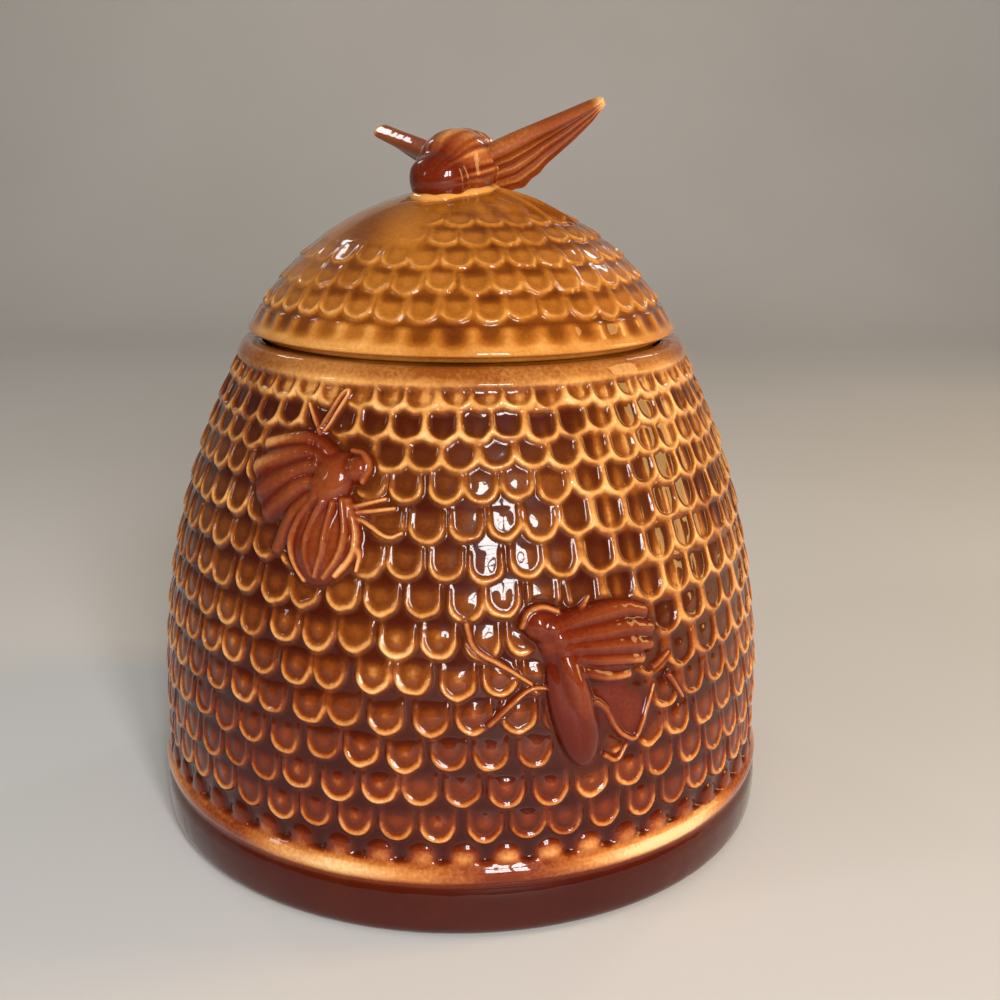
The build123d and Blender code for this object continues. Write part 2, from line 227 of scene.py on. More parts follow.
def scale_row(along, turns, radius, lip, pitch, count, phase, style, seed):
    """One row of scales as a relief over the ground, in mm, with the pool of glaze on it, a painted shade
    under the lips and a painted highlight on the domes.

    along is the height up the surface and lip that of the row's lower edge. Each scale hangs in a round
    apron with a raised lip and a dished middle. Where net is 1 the gaps between the scales are filled, so
    that the lips join to a net round the dishes.
    """
    draw = np.random.default_rng(seed)
    step = 2 * pi / count
    number = np.round((turns - phase) / step).astype(int)
    pick = number % count
    shift = draw.uniform(-0.06, 0.06, count)[pick]
    drop = draw.uniform(-0.7, 0.7, count)[pick] + 0.3 * wander(turns, along, 6, seed)
    lively = draw.uniform(0.5, 1.3, count)[pick]
    width = radius * step
    x = np.abs((turns - phase - number * step) / step - shift) * width
    y = along - lip - drop
    net, hang = style["net"], style["hang"]
    half = style["share"] * draw.uniform(0.96, 1.03, count)[pick] * width
    apron = half - np.where(y < half * hang, np.hypot(x, (half * hang - y) / hang), x)
    edge = apron + (y - 0.16 * pitch * (x / half) ** 2 - apron) * net
    lean = style["lean"] * (1 - y / pitch)
    fade = 1 - style["fade"] * ease(y, style["fade_from"] * pitch, (style["fade_from"] + 0.4) * pitch)
    rim = np.exp(-(np.clip(apron - 0.7, 0, None) / style["lip_width"]) ** 2) * fade
    hollow = ease(apron, 0.9 - 0.5 * net, 2.1 - 0.5 * net) * (1 - net * ease(y, 0.84 * pitch, pitch))
    dome = lively * np.exp(-(x ** 2 + (y - 0.56 * pitch) ** 2) / 2.6 ** 2)
    fall = style["steep"] * np.clip(0.5 - edge, 0, None) ** 1.2
    sink = style["sink"] * ease(y, 0.75 * pitch, 1.05 * pitch)
    height = style["stand"] + lean + style["bead"] * rim * lively
    height = height - style["dish"] * hollow + style["dome"] * dome
    # glaze gathers dark under the lip of the row above, and the shade that the lip casts there is painted
    # in as darker glaze as well
    gathered_and_shaded = style["gather_and_shade"] * ease(y, 0.68 * pitch, 0.95 * pitch)
    # shine is a painted highlight: it makes the top of each scale's dome paler
    face = style["face"] + 0.06 * (lively - 1) - style["shine"] * dome + gathered_and_shaded
    bare = style["bare"] + 0.3 * (1 - fade) - 0.12 * (lively - 1)
    pool = bare + (face - bare) * np.where(apron > 0.75, 1 - rim / np.maximum(fade, 0.05), 0)
    pool = bare * net + pool * (1 - net) + net * (face + 0.22 - bare) * hollow
    return height - fall - sink, pool


# ---- the wall ----

def along_wall(height):
    """How far up the wall's arc a height lies, from the belly."""
    return wall_sweep * np.arcsin((height - belly_height) / wall_sweep)


def wall_radius(height, offset=0.0):
    """Radius of the wall's arc at a height, stood off outwards by offset."""
    return belly_radius - wall_sweep + np.sqrt((wall_sweep + offset) ** 2 - (height - belly_height) ** 2)


def jar_lips():
    """How far up the wall each course's lower edge lies, and its pitch."""
    lip, lips = along_wall(rim_height - first_lip_drop), []
    for number in range(1 + shoulder_courses + wall_courses):
        pitch = shoulder_pitch if number < shoulder_courses else wall_pitch
        lips.append((lip, pitch))
        lip -= pitch
    return lips


def bump_row(along, turns, radius):
    """The plain round bumps between the last row of scales and the ridge, painted paler and golden at the
    front where more light falls.
    """
    centre = along_wall(bump_height)
    step = 2 * pi / scales_round
    x = ((turns - radians(2) + step / 2) % step - step / 2) * radius
    near = (x / 4.7) ** 2 + (np.clip(along - centre, 0, None) / 4.4) ** 2
    bumps = 1.5 * np.clip(1 - near, 0, None) ** 0.8 + 0.3 - 0.9 * np.clip(near - 1, 0, None)
    # painted light: the bumps are paler towards the front, where the lamps fall
    painted_front_light = 0.3 * np.exp(-((np.degrees(turns) - 14) / 26) ** 2) + 0.06 * wander(turns, 0 * turns, 12, 7)
    return bumps, 0.36 - painted_front_light + 0.26 * near + 0.02 * (along - centre)


def wall_relief(along, turns, radius):
    """Relief of the whole wall over its ground and the pool of glaze on it, without the bees."""
    along = along + 0.35 * wander(turns, along, 60, 3)
    shape = np.broadcast(along, turns).shape
    relief, pool = np.zeros(shape) + 0.12 * wander(turns, along, 25, 4), np.full(shape, 0.86)
    band = along_wall(rim_height - rim_band)
    rim = recess - 1.1 * np.clip(band + 0.6 - along, 0, None) + 0 * turns
    relief, pool = over((relief, pool), (rim, 0.25 + 0.08 * wander(turns, along, 40, 5)), 0.9)
    # on the right thick glaze fills the gaps between the scales
    filled = ease(np.degrees(turns), 17, 30) * ease(-np.degrees(turns), -100, -70)
    for number, (lip, pitch) in enumerate(jar_lips()):
        low = ease(number, 3, 8)
        net = 0.9 * filled * (1 - ease(number, 7, 10))
        net = np.maximum(float(np.interp(number, [1, 3], [1.0, 0.0])), net)
        style = {
            "share": 0.5 - 0.045 * low, "hang": 0.95 + 0.1 * low, "net": net,
            "stand": 0.35, "lean": 0.9 - 0.3 * net, "fade": 0.8 - 0.55 * net, "fade_from": 0.3,
            "bead": 0.34, "lip_width": 1.0 + 0.15 * low, "dish": 0.4 + 0.45 * net, "dome": 0.12 + 0.4 * low,
            "steep": 1.7 - 0.9 * net, "sink": 0.5 * (1 - net),
            # gather_and_shade darkens the glaze under each lip: pooled glaze, with the lip's shade painted
            # in
            "bare": 0.14, "face": 0.56, "shine": 0.05 + 0.2 * low, "gather_and_shade": 0.26 * (1 - net),
        }
        rows = (along[:, 0] > lip - 4) & (along[:, 0] < lip + 2.4 * pitch)
        for key, value in style.items():
            style[key] = value[rows] if np.shape(value)[:1] == shape[:1] else value
        # every other row is set half a scale round, and the rows wander a little
        phase = radians(2.2 * sin(pi * number / 9) + (0 if number % 2 == 0 else 180 / scales_round))
        field = scale_row(
            along[rows], turns, radius[rows], lip, pitch, scales_round, phase, style, 100 + number
        )
        relief[rows], pool[rows] = over((relief[rows], pool[rows]), field)
    rows = np.abs(along[:, 0] - along_wall(bump_height)) < 7
    bumps = bump_row(along[rows], turns, radius[rows])
    relief[rows], pool[rows] = over((relief[rows], pool[rows]), bumps, 0.8)
    return relief, pool


# ---- the two bees in relief ----

def on_bee(place, azimuth, height):
    """Millimetres right of and above the bee's place, along the wall."""
    return (
        wall_radius(place[1]) * np.radians(azimuth - place[0]),
        along_wall(height) - along_wall(place[1]),
    )


def mound(x, y, middle, long, wide, turn, height, tone):
    """Rounded mound and the pool of glaze on it; turn is the way its length points, in degrees."""
    a = (x - middle[0]) * cos(radians(turn)) + (y - middle[1]) * sin(radians(turn))
    b = -(x - middle[0]) * sin(radians(turn)) + (y - middle[1]) * cos(radians(turn))
    spread = (a / long) ** 2 + (b / wide) ** 2
    top = height * np.clip(1 - spread, 0, 1) ** 0.6
    relief = np.where(spread < 1, top, -0.6 * wide * (np.sqrt(spread) - 1))
    return relief, tone + 0.2 * np.clip(spread, 0, 1) ** 2


def bent(line):
    """The line of points with its corners drawn as curves."""
    for _ in range(2):
        curve = [line[0]]
        for (ax, ay), (bx, by) in zip(line, line[1:]):
            curve += [(a * ax + (1 - a) * bx, a * ay + (1 - a) * by) for a in (0.75, 0.25)]
        line = curve + [line[-1]]
    return line


def nearest(x, y, line):
    """Distance to a line of points, and how far along the line its nearest place lies, from 0 to 1."""
    runs = [sqrt((bx - ax) ** 2 + (by - ay) ** 2) for (ax, ay), (bx, by) in zip(line, line[1:])]
    off, share, passed = np.full(x.shape, 1e3), np.zeros(x.shape), 0.0
    for (ax, ay), (bx, by), run in zip(line, line[1:], runs):
        t = np.clip(((x - ax) * (bx - ax) + (y - ay) * (by - ay)) / run ** 2, 0, 1)
        away = np.hypot(x - ax - t * (bx - ax), y - ay - t * (by - ay))
        share = np.where(away < off, (passed + t * run) / sum(runs), share)
        off = np.minimum(off, away)
        passed += run
    return off, share


def lobe(x, y, line, width, height, tone):
    """Soft fold of clay along a curved line, with the pool of glaze on it.

    Half width and height are given at its start, middle and end, and tone at its start and end.
    """
    off, share = nearest(x, y, bent(line))
    half, top = np.interp(share, [0, 0.5, 1], width), np.interp(share, [0, 0.5, 1], height)
    crest = np.interp(share, [0.2, 0.9], tone)
    inside = np.clip(1 - (off / half) ** 2, 0, 1)
    relief = np.where(off < half, top * inside ** 0.85, -0.9 * (off - half))
    return relief, crest + (0.74 - crest) * (1 - inside) ** 1.3


def lobes(x, y, folds):
    """Several folds; each is its line, half widths, heights and tones."""
    return [lobe(x, y, *fold) for fold in folds]


def threads(x, y, lines, width, tone):
    """Legs and feelers: thin rolls of clay along lines of points."""
    return lobes(x, y, [(line, width, (1.9, 1.8, 1.3), tone) for line in lines])


def laid_together(parts, reach):
    """Parts of a sprig laid over one another, each melting into those below it."""
    out = parts[0]
    for part in parts[1:]:
        out = over(out, part, reach)
    return out


def upper_bee_relief(azimuth, height):
    """Wings and abdomen spread to the left and down in soft folds, like the petals of a tulip."""
    x, y = on_bee(upper_bee_place, azimuth, height)
    wings = [mound(x, y, (-10.5, 1.8), 16.5, 12.8, 24, 2.7, 0.5)]
    wings += lobes(x, y, [
        ([(2, 9), (-5, 12.6), (-14, 12), (-24, 9.3)], (2.6, 2.8, 2.4), (3.4, 2.9, 1.6), (0.5, 0.1)),
        ([(2, 6), (-5, 9.2), (-13, 7.2), (-26, 2)], (2.8, 3.4, 3.2), (3.9, 3.5, 1.7), (0.5, 0.14)),
        ([(2, 3), (-3, 5.6), (-11, 1.5), (-21, -4.5)], (3.0, 3.3, 3.2), (4.1, 3.7, 1.7), (0.48, 0.34)),
        ([(1, 0), (-5, 0), (-10, -4), (-17.5, -10.5)], (3.2, 3.4, 3.0), (4.2, 3.7, 1.6), (0.46, 0.42)),
        ([(0, -3), (-4, -6), (-8.5, -11), (-12, -20)], (3.2, 3.2, 2.4), (4.0, 3.3, 1.4), (0.46, 0.42)),
    ])
    left_edge = [(0, -4), (-4.5, -10), (-6.4, -17), (-4.8, -23), (-1.0, -27.5)]
    abdomen = [mound(x, y, (2.6, -15.0), 14.2, 10.2, 84, 4.3, 0.5)]
    abdomen += lobes(x, y, [
        (left_edge, (2, 2, 1.3), (4.0, 3.9, 2.2), (0.5, 0.2)),
        ([(2.6, -5), (0, -12), (-1, -19), (1.4, -25.5)], (2.0, 1.8, 1.2), (4.8, 5.2, 3.2), (0.5, 0.46)),
        ([(6, -5), (5.0, -12), (4.6, -19), (2.6, -26)], (2.0, 1.8, 1.2), (5.0, 5.3, 3.2), (0.5, 0.36)),
        ([(8.5, -4), (10.4, -12), (9.4, -19), (5, -26)], (2.0, 1.8, 1.2), (4.7, 4.6, 2.6), (0.5, 0.34)),
        ([(9.5, -4), (13.2, -12), (12.6, -19), (8, -25)], (1.8, 1.7, 1.2), (3.4, 3.0, 2.2), (0.4, 0.16)),
    ])
    thorax = mound(x, y, (3.6, 1.2), 9.8, 6.6, 68, 5.5, 0.46)
    head = mound(x, y, (11.0, 5.6), 4.8, 4.3, 30, 4.5, 0.5)
    collar_line = [(8.6, 10.6), (12.4, 10.4), (15.4, 6.4), (13.0, 2.0)]
    collar = lobe(x, y, collar_line, (1.3, 1.4, 1.1), (2.4, 2.8, 2.0), (0.4, 0.3))
    legs = threads(x, y, [
        [(-3.5, 14.5), (-11.1, 22.9)],
        [(-4.4, 15.4), (1.1, 27.7), (3.4, 28.4), (3.0, 26.2), (-2.6, 15.6)],
        [(10.5, -5.4), (20.2, -2.2)],
        [(12.7, -6.6), (22.9, -4.7)],
        [(8.2, -7.6), (14.4, -8.5), (21.6, -13.6), (25.4, -11.5)],
        [(11.1, -14.1), (14.6, -17.6), (13.6, -23.0)],
    ], (1.2, 1.05, 0.75), (0.32, 0.16))
    back = [laid_together(wings, 2.4), laid_together(abdomen, 1.2)]
    return laid_together(back + [thorax, head, collar] + legs, 2.0)


def lower_bee_relief(azimuth, height):
    """A long drop-shaped body that hangs down, with both wings spread to the right in soft folds."""
    x, y = on_bee(lower_bee_place, azimuth, height)
    hind_wing = mound(x, y, (25.0, -25.0), 12.5, 8.0, -40, 0.8, 0.5)
    wings = [hind_wing, mound(x, y, (19.0, -4.0), 17.5, 10.4, -6, 3.0, 0.5)]
    wings += lobes(x, y, [
        ([(4, 2), (16, 4.4), (28, 5.0), (35.0, 2.6)], (3.8, 3.6, 2.4), (4.6, 3.7, 1.6), (0.5, 0.4)),
        ([(6, -1), (20, -0.6), (30, -0.8), (37, -3)], (3.8, 3.2, 2.4), (4.8, 3.7, 1.6), (0.5, 0.4)),
        ([(8, -4), (20, -4.8), (29, -6), (36.4, -8)], (3.6, 2.8, 2.2), (4.6, 3.5, 1.5), (0.5, 0.34)),
        ([(10, -7), (18, -8.8), (26, -10), (33, -11.6)], (3.0, 2.2, 1.8), (4.2, 3.2, 1.4), (0.5, 0.2)),
        ([(10, -10), (16, -13), (22, -14.8), (28, -15.2)], (2.8, 2.0, 1.5), (3.8, 2.8, 1.3), (0.5, 0.2)),
    ])
    thorax = mound(x, y, (7.4, -1.6), 9.8, 7.2, -50, 4.0, 0.46)
    abdomen = [
        mound(x, y, (9.6, -21.5), 19.5, 6.9, -78, 4.9, 0.5),
        mound(x, y, (11.4, -28.5), 12.0, 6.2, -80, 4.4, 0.56),
        mound(x, y, (10.0, -15.5), 15.5, 4.0, -75, 6.0, 0.44),
    ]
    head = mound(x, y, (0.8, 3.2), 5.8, 5.0, 150, 4.2, 0.52)
    collar_line = [(-4.6, 3.0), (-3.0, 7.2), (1.4, 8.6), (6.0, 6.6)]
    collar = lobe(x, y, collar_line, (1.1, 1.2, 1.1), (2.6, 3.0, 2.6), (0.3, 0.2))
    body = [thorax] + abdomen + [head, collar]
    legs = threads(x, y, [
        [(-20.2, 4.2), (-18.4, -3.3), (-10.7, -7.3), (-2.1, -13.6)],
        [(-14.0, -24.8), (-7.2, -18.4), (-2.1, -14.5), (3.0, -15.4)],
        [(11.4, 4.5), (16.3, 9.5)],
        [(14, -19.7), (19.5, -23), (22, -29), (25, -33), (29.7, -36), (32.1, -30.4), (36.7, -20.3)],
        [(19.4, -38.1), (23.1, -41.1), (26.4, -36.7)],
        [(37.0, -14.8), (43.2, -11.8)],
        [(42.6, -18.8), (48.5, -27.3)],
    ], (1.25, 1.1, 0.8), (0.34, 0.22))
    return laid_together([laid_together(wings, 2.2), laid_together(body, 2.6)] + legs, 1.8)


# each bee's place and relief, and the part of the wall that it covers: degrees round, then height
bees = {
    "upper_bee": (upper_bee_place, upper_bee_relief, (-46.0, -7.5), (97.5, 158.0)),
    "lower_bee": (lower_bee_place, lower_bee_relief, (0.5, 42.0), (48.0, 104.5)),
}


# ---- glaze, clay and floor ----

def linear(code):
    """Blender's linear colour for an sRGB hex code."""
    shares = [int(code[k:k + 2], 16) / 255 for k in (1, 3, 5)]
    return [v / 12.92 if v <= 0.04045 else ((v + 0.055) / 1.055) ** 2.4 for v in shares] + [1.0]


def feed(tree, node, links):
    """Links sockets to a node's inputs, or sets the inputs to plain values."""
    for key, value in links.items():
        if isinstance(value, bpy.types.NodeSocket):
            tree.links.new(value, node.inputs[key])
        else:
            node.inputs[key].default_value = value


def add(tree, kind, links, stops=(), output=0, **settings):
    """Adds a node of a kind to a tree and gives the output that is asked for.

    Links feed its inputs or set them, settings are its own properties, and stops are the places from 0 to
    1 and the hex codes of a colour ramp.
    """
    made = tree.nodes.new(kind)
    for key, value in settings.items():
        setattr(made, key, value)
    while stops and len(made.color_ramp.elements) < len(stops):
        made.color_ramp.elements.new(0.5)
    for number, (place, code) in enumerate(stops):
        made.color_ramp.elements[number].position = place
        made.color_ramp.elements[number].color = linear(code)
    feed(tree, made, links)
    return made.outputs[output]


def new_material(name):
    """A material with its node tree and its shader."""
    material = bpy.data.materials.new(name)
    material.use_nodes = True
    tree = material.node_tree
    shader = tree.nodes["Principled BSDF"]
    return material, tree, shader


# patterns, in millimetres: patches of uneven pouring, flecks of iron, ripples of the gloss, grains of sand
pour_width, fleck_width, ripple_width, grain_width = 38.46, 1.111, 7.143, 0.667
board_cloud_width = 333.3
glaze_depths = (0.0, 0.14, 0.33, 0.56, 0.88)
# sockets of a node that mixes colours
mix_factor, mix_under, mix_over, mix_result = 0, 6, 7, 2


def earthenware_glaze(name, colours, low_tint, low_edge, high_edge):
    """Earthenware under a transparent iron glaze, poured on and fired once.

    It breaks pale where it runs thin over an edge and pools brown-red in the hollows, and its surface is
    one smooth wet-looking skin. The colours run from the barest edge to the deepest pool. Between the
    heights high_edge and low_edge, in metres, the glaze takes on low_tint.
    """
    material, tree, shader = new_material(name)
    place = add(tree, "ShaderNodeTexCoord", {}, output="Object")
    # the pool carries how thick the glaze lies, and also some painted light and shade
    pool = add(tree, "ShaderNodeAttribute", {}, output="Fac", attribute_name="glaze_pool_and_painted_light")
    cloud = add(tree, "ShaderNodeTexNoise", {"Vector": place, "Scale": 1000 / pour_width, "Detail": 3.0})
    fleck = add(tree, "ShaderNodeTexNoise", {"Vector": place, "Scale": 1000 / fleck_width, "Detail": 2.0})
    drift = add(tree, "ShaderNodeMath", {0: cloud, 1: 0.5}, operation="SUBTRACT")
    grain = add(tree, "ShaderNodeMath", {0: fleck, 1: 0.5}, operation="SUBTRACT")
    depth = add(tree, "ShaderNodeMath", {0: drift, 1: 0.34, 2: pool}, operation="MULTIPLY_ADD")
    depth = add(tree, "ShaderNodeMath", {0: grain, 1: 0.16, 2: depth}, operation="MULTIPLY_ADD")
    colour = add(tree, "ShaderNodeValToRGB", {"Fac": depth}, list(zip(glaze_depths, colours)))
    # the glaze is redder and darker low on the piece, where it was dipped last and ran together
    height = add(tree, "ShaderNodeSeparateXYZ", {0: place}, output="Z")
    edges = {"Value": height, "From Min": high_edge, "From Max": low_edge}
    lowness = add(tree, "ShaderNodeMapRange", edges, interpolation_type="SMOOTHSTEP")
    lowness = add(
        tree, "ShaderNodeMath", {0: drift, 1: 0.9, 2: lowness}, operation="MULTIPLY_ADD", use_clamp=True
    )
    # bare edges keep their own colour there
    filled = add(tree, "ShaderNodeMapRange", {"Value": depth, "From Min": 0.0, "From Max": 0.35})
    lowness = add(tree, "ShaderNodeMath", {0: lowness, 1: filled}, operation="MULTIPLY")
    redder = add(
        tree, "ShaderNodeMix", {mix_factor: 1.0, mix_under: colour, mix_over: linear(low_tint)},
        output=mix_result, data_type="RGBA", blend_type="MULTIPLY",
    )
    colour = add(
        tree, "ShaderNodeMix", {mix_factor: lowness, mix_under: colour, mix_over: redder},
        output=mix_result, data_type="RGBA",
    )
    feed(tree, shader, {"Base Color": colour, "Roughness": 0.32, "Specular IOR Level": 0.05})
    # clear gloss of the glaze, a little rippled as it is on cast ware, its IOR lowered from a glass's 1.5
    ripple = add(tree, "ShaderNodeTexNoise", {"Vector": place, "Scale": 1000 / ripple_width, "Detail": 1.0})
    skin = add(tree, "ShaderNodeBump", {"Strength": 0.22, "Distance": 0.0012, "Height": ripple})
    feed(tree, shader, {"Coat Weight": 1.0, "Coat Roughness": 0.035, "Coat IOR": 1.36, "Coat Normal": skin})
    return material


def raw_clay():
    """Earthenware left bare where the glaze was wiped off the foot: dry, pale and a little sandy."""
    material, tree, shader = new_material("bare_earthenware")
    place = add(tree, "ShaderNodeTexCoord", {}, output="Object")
    sand = add(tree, "ShaderNodeTexNoise", {"Vector": place, "Scale": 1000 / grain_width, "Detail": 3.0})
    colour = add(tree, "ShaderNodeValToRGB", {"Fac": sand}, [(0.3, "#C9A27C"), (0.7, "#E2C6A4")])
    grit = add(tree, "ShaderNodeBump", {"Strength": 0.3, "Distance": 0.0004, "Height": sand})
    feed(tree, shader, {"Base Color": colour, "Roughness": 0.85, "Normal": grit})
    return material


def matt_floor():
    """Board painted with a matt emulsion: pale, even and without a gleam."""
    material, tree, shader = new_material("matt_board")
    place = add(tree, "ShaderNodeTexCoord", {}, output="Object")
    links = {"Vector": place, "Scale": 1000 / board_cloud_width, "Detail": 2.0}
    cloud = add(tree, "ShaderNodeTexNoise", links)
    colour = add(tree, "ShaderNodeValToRGB", {"Fac": cloud}, [(0.3, "#D4D0CA"), (0.7, "#DAD6D1")])
    feed(tree, shader, {"Base Color": colour, "Roughness": 0.7})
    return material


jar_glaze = earthenware_glaze(
    "jar_amber_glaze", ["#F0C68A", "#D8964E", "#8A4814", "#592606", "#400F01"], "#E0A28A", 0.03, 0.13
)
lid_glaze = earthenware_glaze(
    "lid_honey_glaze", ["#EDBE7C", "#DA984C", "#B06A22", "#7C3F09", "#3E1000"], "#ECDCC8", 0.155, 0.19
)
bee_glaze = earthenware_glaze(
    "bee_russet_glaze", ["#E8B070", "#CE8A4A", "#92481E", "#661E04", "#3A0A01"], "#E0AC98", 0.03, 0.12
)
clay = raw_clay()


# ---- the jar's outside: one surface cut into rings at the courses ----

def jar_profile():
    """From inside the mouth over the rim, down the wall, over the ridge and the foot band to the table."""
    rim = [(mouth_radius, 153.0), (mouth_radius, rim_height), (wall_radius(rim_height), rim_height)]
    wall = [(wall_radius(h), h) for h in np.linspace(rim_height - 2.6, bump_height, 60)]
    ridge = [(104.8, 23.6), (106.4, 22.2), (106.2, 19.0), (104.9, 17.4)]
    foot_band = [(106.3, 14.6), (106.5, 8.0), (105.6, 0.15), (96.0, 0.15)]
    easing = [0, 2.2, 2.0] + [0] * len(wall) + [1.0, 1.5, 1.5, 0.9] + [1.9, 3.0, 4.5, 0]
    outline = eased([np.array(point) for point in rim + wall + ridge + foot_band], easing)

    def spacing(point):
        """Closer together on the wall."""
        return cell_height if wall_foot < point[1] < 160 and point[0] > wall_inside else 1.2 * cell_height

    return respaced(outline, spacing)


def laid_off(outline, depth):
    """Outline moved out along its own normal by depth; outwards is to the left of its run."""
    run = np.gradient(outline, axis=0)
    run /= np.linalg.norm(run, axis=1, keepdims=True)
    normal = np.stack([-run[:, 1], run[:, 0]], axis=1)
    return outline[:, None, :] + normal[:, None, :] * depth[..., None]


def ring_pieces(stem, body, node, material, outline, relief, turns, cuts, depth, pool):
    """Cuts a turned relief surface into closed rings, each with a plain back that lies depth deeper."""
    face = turned(laid_off(outline, relief), turns)
    back = turned(laid_off(outline, np.full(relief.shape, -depth)), turns)
    facing = slopes(face[:, :-1])
    facing = np.concatenate([facing, facing[:, :1]], axis=1)
    edges = pooling(relief[:, :-1], 2 * fine, True, 0.7) - 0.5
    pool = blurred(pool[:, :-1], fine, True) + 0.25 * edges
    pool = np.concatenate([pool, pool[:, :1]], axis=1)
    for number, (first, last) in enumerate(zip(cuts, cuts[1:])):
        rows = slice(first, last + 1)
        ends = np.stack([back[last], back[first], face[first]])
        points = np.concatenate([face[rows], ends])
        inward = np.stack([-facing[last], -facing[first], facing[first]])
        shading = np.concatenate([facing[rows], inward])
        thick = np.concatenate([pool[rows], np.stack([pool[last], pool[first], pool[first]])])
        lay(f"{stem}_{number + 1:02d}", body, [node], material, points, thick, shading)


def clear_for_bees(relief, pool, height, turns, on_wall):
    """Presses the scales flat under each bee and runs the glaze round its edge."""
    for _, shape, (left, right), (low, high) in bees.values():
        rows = np.flatnonzero(on_wall & (height > low) & (height < high))
        columns = np.flatnonzero((np.degrees(turns[0]) > left) & (np.degrees(turns[0]) < right))
        window = np.ix_(rows, columns)
        up, round_ = height[rows][:, None], turns[:, columns]
        bee, tone = shape(np.degrees(round_) + 0 * up, up + 0 * round_)
        under = np.minimum(bee - 0.6, 1.0) - recess
        cover = ease(bee, -0.9, 0.5)
        relief[window] = union(relief[window] * (1 - cover) + (0.3 - recess) * cover, under, 1.2)
        pool[window] += (np.clip(tone, 0.4, 0.7) - pool[window]) * cover


def foot_glaze(height, turns):
    """How much thicker the glaze lies low down: thin over the ridge, and gathered on the foot band, with
    painted shade on the ridge's left.
    """
    ridge = ease(height, 17.0, 20.0) * ease(-height, -24.6, -22.0)
    thicker = 0.44 * ease(-height, -18.4, -15.5) - 0.15 * ridge
    # the gold of the ridge is painted duller on the left as painted shade where less light falls, and it
    # varies a little at random
    painted_shade_and_mottle = 0.2 * ease(-np.sin(turns), 0.4, 0.85) + 0.16 * wander(turns, 0 * turns, 60, 6)
    return thicker[:, None] + painted_shade_and_mottle * ridge[:, None]


def jar_outside():
    """Rim, wall and foot band, cut into a ring for each course of scales."""
    outline = jar_profile()
    turns = np.linspace(-pi, pi, scales_round * 12 * fine + 1)[None, :]
    height = outline[:, 1]
    outer = outline[:, 0] > wall_inside
    on_wall = (height < rim_height - 2.4) & (height > wall_foot - 0.1) & outer
    relief = np.zeros((len(outline), turns.size))
    pool = np.full(relief.shape, 0.4)
    along = along_wall(height[on_wall])[:, None]
    relief[on_wall], pool[on_wall] = wall_relief(along, turns, wall_radius(height[on_wall])[:, None])
    relief[on_wall] -= recess
    clear_for_bees(relief, pool, height, turns, on_wall)
    settle = ease(height, wall_foot, wall_foot + 1.2) * ease(rim_height - height, 2.6, 4.6) * on_wall
    relief *= settle[:, None]
    plain = 0.3
    pool = plain + (pool - plain) * settle[:, None]
    relief[:, -1], pool[:, -1] = relief[:, 0], pool[:, 0]
    # the cuts lie under the rim, just under the lips of each course, and at the foot of the wall
    marks = [rim_height - 3.4]
    marks += [belly_height + wall_sweep * sin((lip - 1.2) / wall_sweep) for lip, _ in jar_lips()]
    marks += [wall_foot]
    rows = np.flatnonzero(outer)
    cuts = [0] + [int(rows[np.argmin(np.abs(height[rows] - mark))]) for mark in marks] + [len(outline) - 1]
    pool = pool + foot_glaze(height, turns)
    ring_pieces(
        "jar_course", "pot", "jar", jar_glaze, outline, relief, turns, cuts, jar_skin, pool
    )


def lathe(name, body, node, material, outline, easing, columns):
    """Closed turned piece from an outline that starts and ends on the axis."""
    outline = eased([np.array(point, float) for point in outline], easing)

    def spacing(point):
        """Closer together at the foot and at the mouth."""
        return 1.6 if point[1] < 8 or point[1] > rim_height - 14 else 3.2

    outline = respaced(outline, spacing)
    turns = np.linspace(-pi, pi, columns + 1)[None, :]
    points = turned(outline[:, None], turns)
    pool = np.full(points.shape[:2], 0.45) + 0.1 * wander(turns, points[..., 2], 60, 9)
    return lay(name, body, [node], material, points, pool)


def jar_lining():
    """Clay of the jar behind the scales: its inside, its floor and the ring it stands on."""
    inner = [(wall_radius(h, -wall_thickness), h) for h in (20, 50, 80, 110, 135, 146)]
    outer = [(wall_radius(h, -recess - 0.7), h) for h in (150, 135, 110, 80, 50, 30)]
    floor = [(0, floor_thickness), (inner[0][0], floor_thickness)]
    mouth = [(mouth_radius, 153.5), (mouth_radius, 158), (mouth_radius + 4, 158)]
    foot = [(103.5, 20), (103.5, 6), (foot_outer, 0), (foot_inner, 0)]
    foot += [(foot_inner - 1, foot_recess), (0, foot_recess)]
    outline = floor + inner + mouth + outer + foot
    easing = [0, 14] + [0] * len(inner) + [4, 0.3, 0] + [0] * len(outer) + [0, 0, 0.8, 0.8, 0.6, 0]
    piece = lathe("jar_lining", "pot", "jar", jar_glaze, outline, easing, 132 * fine)
    # the glaze is wiped off the foot ring
    piece.data.materials.append(clay)
    for face in piece.data.polygons:
        low = max(piece.data.vertices[v].co.z for v in face.vertices)
        if low < 0.0012:
            face.material_index = 1


# ---- the lid ----

def dome_point(angle, offset=0.0):
    """Radius and height on the dome's arc at an angle up from its middle, stood off outwards by offset."""
    return ((dome_sweep + offset) * cos(angle), dome_centre + (dome_sweep + offset) * sin(angle))


